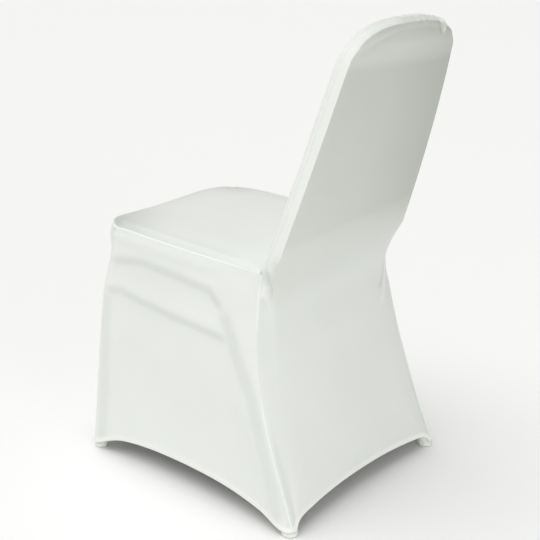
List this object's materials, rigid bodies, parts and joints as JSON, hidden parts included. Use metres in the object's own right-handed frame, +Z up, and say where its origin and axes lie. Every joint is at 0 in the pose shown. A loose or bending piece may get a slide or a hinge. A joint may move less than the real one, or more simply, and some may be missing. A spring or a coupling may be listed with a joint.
{
  "type": "spandex banquet chair cover",
  "caption": "Stretch cloth cover for a banquet chair, with a round-topped backrest, a fitted seat, an arched hem and a small pocket for each foot.",
  "frame": {"origin": "on the floor, under the middle of the cover's box", "axes": "+Z up, the cover faces -Y, +X is its left"},
  "size_m": [0.476, 0.6006, 0.9333],
  "materials": {
    "cover_cloth": "smooth matt stretch knit with a faint sheen, ivory",
    "pocket_cloth": "doubled matt stretch knit, ivory"
  },
  "bodies": {
    "root": {"back_panel": "cover_cloth", "inside_back_panel": "cover_cloth", "seat_panel": "cover_cloth", "skirt_panel": "cover_cloth", "foot_pocket_front_left": "pocket_cloth", "foot_pocket_front_right": "pocket_cloth", "foot_pocket_rear_left": "pocket_cloth", "foot_pocket_rear_right": "pocket_cloth"}
  },
  "joints": []
}
